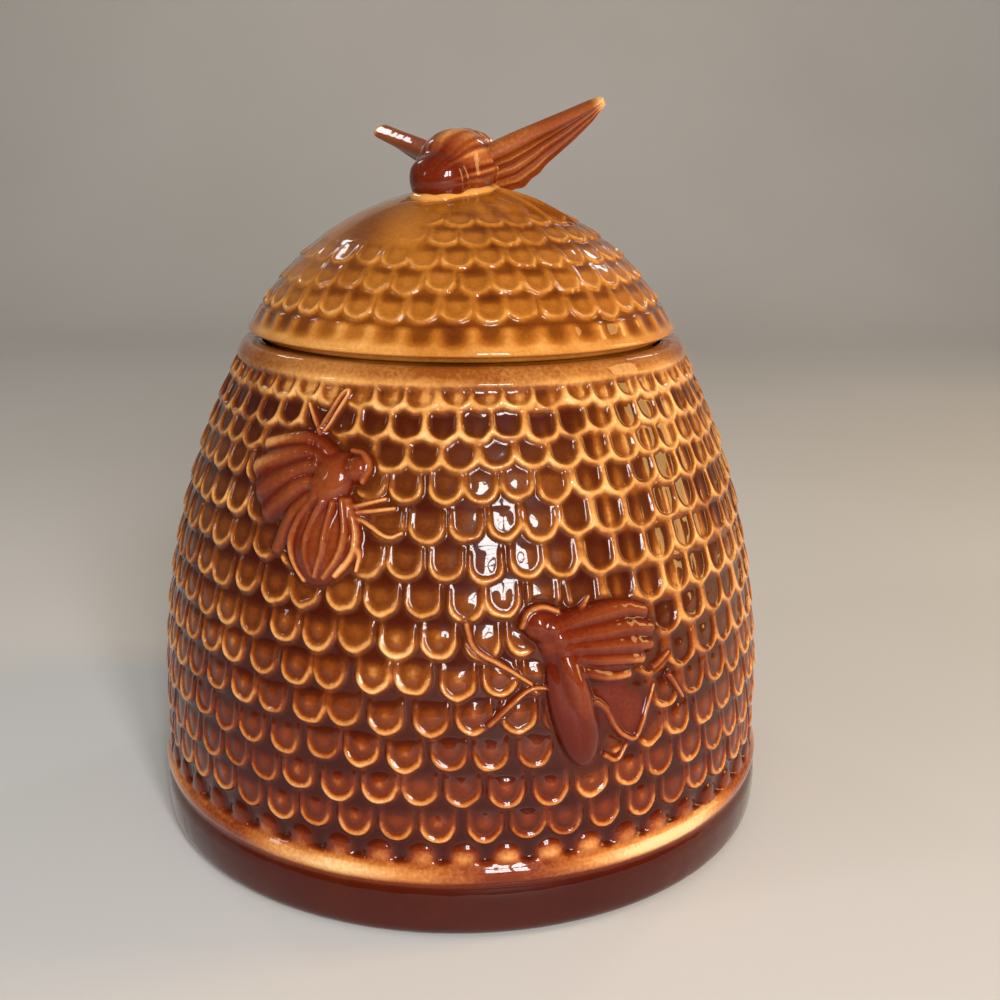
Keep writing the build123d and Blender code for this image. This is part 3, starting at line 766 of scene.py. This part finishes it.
def lid_band(up, turns, radius):
    """Plain band over the lid's rolled edge, with its row of soft thumb-like hollows."""
    step = 2 * pi / lid_hollows
    across = ((turns + step / 2) % step - step / 2) * radius
    deep = 1 + 0.2 * np.cos(5.3 * np.round(turns / step))
    hollows = deep * np.exp(-np.abs(across / 3.5) ** 3 - np.abs((up - 8.0) / 3.8) ** 3)
    band = (0.95 - 0.5 * hollows) - 3.0 * ease(up, lid_first_lip - 2.0, lid_first_lip + 0.8)
    # the band turns darker just under the first row's lip: pooled glaze, with the lip's shade painted in
    tone = 0.24 + 0.36 * hollows + 0.55 * ease(up, 8.8, 11.0) - 0.08 * ease(-up, -5, -2)
    return band, tone + 0.06 * wander(turns, up, 12, 25)


def lid_leaf(turns, radius):
    """Small leaf of clay that lies on the dome beside the knob."""
    x, y = radius * np.sin(turns), -radius * np.cos(turns)
    return lobes(x, y, [
        ([(12, -8), (21, -13), (29, -14.5), (36, -12)], (2.0, 3.2, 1.4), (2.6, 2.9, 1.6), (0.3, 0.62)),
        ([(13, -10), (21, -17), (29, -23)], (1.8, 2.6, 1.2), (2.3, 2.0, 1.2), (0.32, 0.42)),
    ])


def lid_relief(up, turns, radius):
    """Relief of the dome over its ground and the pool of glaze on it.

    up is the way along the dome from its edge. Near the top, where the turns draw together, it is calm.
    """
    calm = ease(radius, 12, 50)
    up = up + 0.3 * calm * wander(turns, up, 50, 23)
    shape = np.broadcast(up, turns).shape
    relief, pool = 0.1 * calm * wander(turns, up, 20, 24) + np.zeros(shape), np.full(shape, 0.8)
    relief, pool = over((relief, pool), lid_band(up, turns, radius), 0.7)
    for number in range(lid_courses):
        lip = lid_first_lip + lid_pitch * number
        lip_radius = dome_point(dome_edge + lip / dome_sweep)[0]
        count = round(2 * pi * lip_radius / lid_scale_width)
        rows = (up[:, 0] > lip - 4) & (up[:, 0] < lip + 2.3 * lid_pitch)
        style = {
            "share": 0.5, "hang": 0.8, "net": 0.1, "stand": 0.35, "lean": 0.4 - 0.03 * number,
            "fade": 0.85, "fade_from": 0.2, "bead": 0.3, "lip_width": 0.9, "dish": 0.35, "dome": 0.15,
            "steep": 1.7 - 0.2 * number, "sink": 0.4,
            "bare": 0.14 + 0.03 * number, "face": 0.44, "shine": 0.1, "gather_and_shade": 1.0 - 0.12 * number,
        }
        phase = (number % 2) * pi / count
        field = scale_row(up[rows], turns, radius[rows], lip, lid_pitch, count, phase, style, 200 + number)
        relief[rows], pool[rows] = over((relief[rows], pool[rows]), field)
    top = lid_first_lip + lid_pitch * (lid_courses - 1)
    plain = 1.05 * ease(up, top + 0.5 * lid_pitch, top + 1.5 * lid_pitch) - 0.05 + 0 * turns
    relief, pool = over((relief, pool), (plain, 0.44 + 0.12 * calm * wander(turns, up, 20, 26)), 0.8)
    # thick glaze has filled the scales on the upper left
    filled = ease(-np.degrees(turns), 4, 22) * ease(np.degrees(turns), -100, -80) * ease(up, 34, 41)
    filled = np.maximum(filled, 0.6 * np.exp(-((np.degrees(turns) + 60) / 26) ** 2) * ease(up, 12, 22))
    smear = 0.4 + 0.14 * calm * wander(turns, up, 60, 27)
    relief, pool = relief * (1 - filled) + 0.75 * filled, pool * (1 - filled) + smear * filled
    return laid_together([(relief, pool)] + lid_leaf(turns, radius), 1.2)


def lid_profile():
    """From the top of the dome down to its edge, round the rolled edge and in under it to the seat."""
    dome = [dome_point(angle) for angle in np.linspace(pi / 2, dome_edge + 2.4 / dome_sweep, 90)]
    dome[0] = (0.0, dome[0][1])
    edge = lid_edge_height
    rolled = [(lid_radius - 0.2, edge + 1.4), (lid_radius - 0.5, edge + 0.05), (69.0, edge + 0.05)]
    seat = [(67.4, edge - 1.9), (65.4, edge - 1.9)]
    easing = [0] * len(dome) + [0.7, 0.9, 0.5, 0.5, 0]
    outline = eased([np.array(point) for point in dome + rolled + seat], easing)
    return respaced(outline, lambda point: cell_height)


def lid_outside():
    """Dome and rolled edge, cut into a ring for each course of scales."""
    outline = lid_profile()
    turns = np.linspace(-pi, pi, 432 * fine + 1)[None, :]
    angle = np.arctan2(outline[:, 1] - dome_centre, outline[:, 0])
    up = dome_sweep * (angle - dome_edge)
    on_dome = (up > 2.2) & (outline[:, 1] > lid_edge_height + 1.5)
    relief = np.zeros((len(outline), turns.size))
    pool = np.full(relief.shape, 0.22)
    relief[on_dome], pool[on_dome] = lid_relief(up[on_dome][:, None], turns, outline[on_dome, 0:1])
    relief[on_dome] -= lid_recess
    relief *= ease(up, 2.4, 4.4)[:, None]
    relief[:, -1], pool[:, -1] = relief[:, 0], pool[:, 0]
    lips = [lid_first_lip + lid_pitch * number for number in reversed(range(lid_courses))]
    rows = np.flatnonzero(on_dome)
    cuts = [int(rows[np.argmin(np.abs(up[rows] - lip + 1.0))]) for lip in lips]
    cuts = [0] + cuts + [len(outline) - 1]
    ring_pieces(
        "lid_course", "cover", "lid", lid_glaze, outline, relief, turns, cuts, lid_skin, pool
    )


def lid_lining():
    """Underside of the lid: the hollow dome, the seat and the flange that drops into the mouth."""
    inner = flange_radius - flange_width
    bottom = seat_height - flange_depth
    spring = np.arccos(inner / (dome_sweep - lid_thickness))
    hollow = [dome_point(angle, -lid_thickness) for angle in np.linspace(spring, pi / 2, 24)]
    crown = [dome_point(angle, -2.6) for angle in np.linspace(pi / 2, dome_edge + 0.06, 24)]
    hollow[-1] = (0.0, hollow[-1][1])
    crown[0] = (0.0, crown[0][1])
    outline = crown + [(66.6, seat_height + 0.4), (66.3, seat_height), (flange_radius, seat_height)]
    outline += [(flange_radius, bottom), (inner, bottom)] + hollow
    easing = [0] * len(crown) + [0.2, 0.2, 0.8, 1.5, 1.5, 1.5] + [0] * (len(hollow) - 1)
    lathe("lid_lining", "cover", "lid", lid_glaze, outline, easing, 120 * fine)


# ---- bees ----

def relief_bee(name):
    """Sprig of clay pressed onto the wall: its relief in front and a plain back let into the wall."""
    place, shape, (left, right), (low, high) = bees[name]
    cell = 0.66 / fine
    columns = int(np.radians(right - left) * wall_radius(place[1]) / cell)
    rows = int((high - low) / cell)
    azimuth = np.linspace(left, right, columns)[None, :]
    height = np.linspace(high, low, rows)[:, None]
    relief, pool = shape(azimuth + 0 * height, height + 0 * azimuth)
    relief = np.maximum(relief - recess, -recess - 1.2)
    relief = relief + 0.08 * wander(np.radians(azimuth) * 4, height, 12, 31)
    back = -recess - 2.0
    relief[[0, -1], :] = back
    relief[:, [0, -1]] = back

    def stood_off(offset):
        """Points of the wall under the bee, stood off outwards."""
        angle = np.arcsin((height - belly_height) / wall_sweep)
        radius = belly_radius - wall_sweep + (wall_sweep + offset) * np.cos(angle)
        rise = belly_height + (wall_sweep + offset) * np.sin(angle)
        return turned(np.stack([radius, rise], axis=-1), np.radians(azimuth))

    front, rear = stood_off(relief), stood_off(np.full(relief.shape, back))
    points = np.concatenate([front, rear[::-1]])
    pool = pool + 0.2 * (pooling(relief, 2 * fine, False, 0.6) - 0.5)
    pool = np.concatenate([pool, pool[::-1]])
    lay(name + "_relief", "pot", [name], bee_glaze, points, pool)


heading = Vector((-sin(radians(knob_heading)), -cos(radians(knob_heading)), 0))
left_side = Vector((cos(radians(knob_heading)), -sin(radians(knob_heading)), 0))
knob_middle = heading * knob_forward + Vector((0, 0, dome_centre + dome_sweep + knob_rise - knob_radius))


def placed(origin, first, second, third, a, b, c):
    """Points a, b, c along three directions from an origin."""
    axes = [np.array(v) for v in (first, second, third)]
    return np.array(origin) + a[..., None] * axes[0] + b[..., None] * axes[1] + c[..., None] * axes[2]


def knob_body():
    """The knob bee's body: a blunt head, a humped back and a ringed tail."""
    ahead = heading * cos(radians(knob_nose_down)) - Vector((0, 0, sin(radians(knob_nose_down))))
    upward = left_side.cross(ahead) * -1
    t = np.linspace(0, pi, 64 * fine)[:, None]
    round_ = np.linspace(-pi, pi, 64 * fine + 1)[None, :]
    x = np.where(t < pi / 2, knob_front, knob_rear) * np.cos(t) + 0 * round_
    girth = knob_radius * np.sin(t) ** 0.92
    girth = girth * (1 - 0.07 * np.exp(-((x - 9.5) / 2.6) ** 2))
    rings = 0.35 * np.cos((x + 4) * 2 * pi / 5.2) * ease(-x, 5, 9) * np.sin(t)
    top = np.cos(round_)
    hump = 1.3 * np.exp(-((x + 1) / 8) ** 2) * ease(top, 0.1, 1.0)
    face = 0.7 * np.exp(-((x - 14) / 3.5) ** 2) * ease(np.abs(np.sin(round_)), 0.3, 1)
    bulge = rings + hump + face - 1.2 * ease(top, 0.4, 1.0) * np.exp(-((x - 10) / 5) ** 2)
    out = girth + bulge
    points = placed(knob_middle, ahead, left_side, upward, x, out * np.sin(round_), out * np.cos(round_))
    # the hump on the top is painted paler: glaze runs thin over it, and painted light falls on the top
    pool = 0.4 - 0.24 * np.tanh(2 * rings) - 0.18 * hump / 1.3 + 0.14 * ease(x, 4, 12)
    pool = pool + 0.2 * np.sin(t) ** 2 * wander(round_, x, 18, 41)
    lay("knob_bee_body", "cover", ["knob_bee"], bee_glaze, points, pool)


def knob_seat():
    """Roll of clay round the foot of the knob, where the body is luted to the dome."""
    along = np.linspace(-pi, pi, 96 * fine + 1)[None, :]
    ring = np.linspace(-pi, pi, 12 * fine + 1)[:, None]
    front, rear, side = 17.3, 20.0, 10.9
    x = (front * (np.cos(along) > 0) + rear * (np.cos(along) <= 0)) * np.cos(along)
    y = side * np.sin(along)
    radius = 1.75 + 0.3 * wander(along, 0 * along, 60, 43)
    out = radius * np.cos(ring)
    x = x + out * np.cos(along)
    y = y + out * np.sin(along)
    spot = np.array(knob_middle)[:2] + x[..., None] * np.array(heading)[:2]
    spot = spot + y[..., None] * np.array(left_side)[:2]
    dome = dome_centre + np.sqrt(dome_sweep ** 2 - (spot ** 2).sum(axis=-1))
    points = np.concatenate([spot, (dome + radius * np.sin(ring) * 0.9 - 0.2)[..., None]], axis=-1)
    pool = 0.12 + 0.25 * ease(-np.sin(ring), -0.6, 0.8) + 0 * along
    lay("knob_seat_roll", "cover", ["knob_bee"], lid_glaze, points, pool)


def knob_wing(name, side, aim):
    """Raised wing: a thick rounded leading edge and long veins that draw together at its tip.

    side is 1 for the bee's left wing and -1 for its right.
    """
    turn, rise, roll = (radians(angle) for angle in aim)
    root = knob_middle - heading * wing_root_back + left_side * (side * wing_root_side)
    root = root + Vector((0, 0, wing_root_rise))
    span = Vector((cos(turn) * cos(rise), sin(turn) * cos(rise), sin(rise)))
    ahead = Vector((sin(turn), -cos(turn), 0)) * side
    upward = span.cross(ahead) * -side
    leading = upward * sin(roll) + ahead * cos(roll)
    through = span.cross(leading)
    u = np.linspace(0, 1, 80 * fine)[None, :]
    w = np.linspace(0, 2 * pi, 80 * fine + 1)[:, None]
    # outline of the wing: how far the trailing and the leading edge lie from the line of its root
    stations = np.array([0, 2, 8, 15, 20, 30, 38, 43, 44.3]) / 44.3
    low = np.interp(u, stations, [-12, -13.2, -14.5, -12.2, -9.6, -6, -2.5, 0.6, 1.6])
    high = np.interp(u, stations, [4.3, 4.5, 4.7, 4.8, 4.7, 4.5, 4.4, 4.2, 3.8])
    low = blurred(np.repeat(low, 3, 0), 4, False)[1:2]
    high = blurred(np.repeat(high, 3, 0), 4, False)[1:2]
    v = (1 - np.cos(w)) / 2 + 0 * u
    feathered = 0.35 * np.cos(u * 42) * (1 - ease(u, 0.2, 0.5)) * (1 - ease(v, 0.0, 0.25))
    chord = low + feathered + (high - low - feathered) * v
    half = 0.9 + (3.1 if side > 0 else 3.6) * ease(v, 0.5, 0.88) * (1 - 0.3 * u)
    close = np.clip(1 - np.abs(2 * u - 1) ** 14, 0, 1) ** 0.5
    veins = np.cos(2 * pi * 4.5 * v + 0.9 * np.sin(4 * u)) + 0.3 * np.cos(2 * pi * 11 * v + 2 * u)
    ridge = 0.32 * veins * (1 - ease(v, 0.66, 0.84)) * ease(u, 0.02, 0.2) * (1 - 0.5 * u)
    through_by = (half * np.abs(np.sin(w)) ** 0.5 + ridge * np.abs(np.sin(w))) * np.sign(np.sin(w)) * close
    points = placed(root, span, leading, through, wing_length * u + 0 * v, chord, through_by)
    points[[0, -1]] = (points[0] + points[-1]) / 2
    pool = 0.42 - 0.12 * veins * (1 - ease(v, 0.7, 0.88)) - 0.06 * ease(v, 0.75, 0.92)
    pool = pool - 0.4 * ease(u, 0.88, 1.0)
    pool = pool + 0.05 * wander(0.6 * u, 3 * v, 60, 42)
    lay(name + "_veined", "cover", [name], bee_glaze, points, pool)


jar_outside()
jar_lining()
lid_outside()
lid_lining()
for bee_name in bees:
    relief_bee(bee_name)
knob_body()
knob_seat()
knob_wing("knob_left_wing", 1, left_wing_aim)
knob_wing("knob_right_wing", -1, right_wing_aim)


# ---- floor, light and camera ----

def sweep_floor():
    """Pale board that turns up into a backdrop behind the jar."""
    bm = bmesh.new()
    bmesh.ops.create_grid(bm, x_segments=8, y_segments=60, size=1)
    for vertex in bm.verts:
        across, back = vertex.co.x * 5.0, vertex.co.y * 2.5
        bend, turn = 1.1, 0.6
        past = max(back - bend, 0)
        angle = min(past / turn, pi / 2)
        rest = max(past - turn * pi / 2, 0)
        vertex.co = (across, min(back, bend) + turn * sin(angle), turn * (1 - cos(angle)) + rest)
    mesh = bpy.data.meshes.new("floor_board")
    smooth_into(mesh, bm)
    floor = shown("floor_board", mesh)
    mesh.materials.append(matt_floor())


def soft_light(name, place, aim, width, height, power, tint="#FFFFFF", mirrored=True):
    """Soft panel of light; the glaze mirrors it unless mirrored is off."""
    lamp = bpy.data.lights.new(name, "AREA")
    lamp.shape = "RECTANGLE"
    lamp.size, lamp.size_y = width, height
    lamp.energy = power
    lamp.color = linear(tint)[:3]
    holder = shown(name, lamp)
    holder.location = place
    holder.visible_glossy = mirrored
    holder.rotation_euler = (Vector(aim) - Vector(place)).to_track_quat("-Z", "Y").to_euler()


def studio_lights():
    """A window of six panes in front, a warm light from the right and weak ones round about."""
    middle = (0, 0, 0.12)
    for column in range(2):
        for row in range(3):
            pane = (0.26 + 0.19 * column, -1.18 + 0.06 * column, 0.42 + 0.2 * row)
            soft_light(f"window_pane_{column}{row}", pane, middle, 0.155, 0.165, 3.0)
    soft_light("side_light", (1.15, 0.1, 0.5), middle, 0.3, 0.8, 6.5, "#FFCF80")
    soft_light("left_light", (-1.1, -0.7, 0.7), middle, 0.6, 0.6, 1.6, mirrored=False)
    soft_light("left_window", (-1.2, -0.5, 0.75), middle, 0.14, 0.3, 1.2)
    soft_light("top_light", (0.0, -0.5, 1.7), (0, 0, 0.1), 1.0, 1.0, 4.0, mirrored=False)
    soft_light("back_left_light", (-0.9, 0.95, 1.15), (0, 0, 0.18), 0.16, 0.2, 0.9)
    soft_light("back_right_light", (0.75, 0.9, 0.95), (0, 0, 0.18), 0.1, 0.26, 0.9)
    world = bpy.data.worlds.new("studio_air")
    world.use_nodes = True
    world.node_tree.nodes["Background"].inputs["Color"].default_value = linear("#E8E8E6")
    world.node_tree.nodes["Background"].inputs["Strength"].default_value = 0.13
    bpy.context.scene.world = world


def front_camera():
    """Camera at the front, a little above the lid's edge, that looks slightly down."""
    place = (0.013183, -0.416155, 0.221794)
    look_down, tilt = radians(15.757), radians(0.438)
    focal_length, picture_width = 1223.5, 1000      # both in pixels
    gaze = Vector((0, cos(look_down), -sin(look_down)))
    right = Vector((1, 0, 0))
    above = right.cross(gaze)
    right, above = right * cos(tilt) + above * sin(tilt), above * cos(tilt) - right * sin(tilt)
    lens = bpy.data.cameras.new("camera")
    lens.sensor_width = 36.0
    lens.lens = focal_length / picture_width * 36.0
    lens.clip_start = 0.02
    camera = shown("camera", lens)
    camera.matrix_world = Matrix((right, above, -gaze)).transposed().to_4x4()
    camera.location = place
    bpy.context.scene.camera = camera


sweep_floor()
studio_lights()
front_camera()
bpy.context.scene.view_settings.view_transform = "Standard"
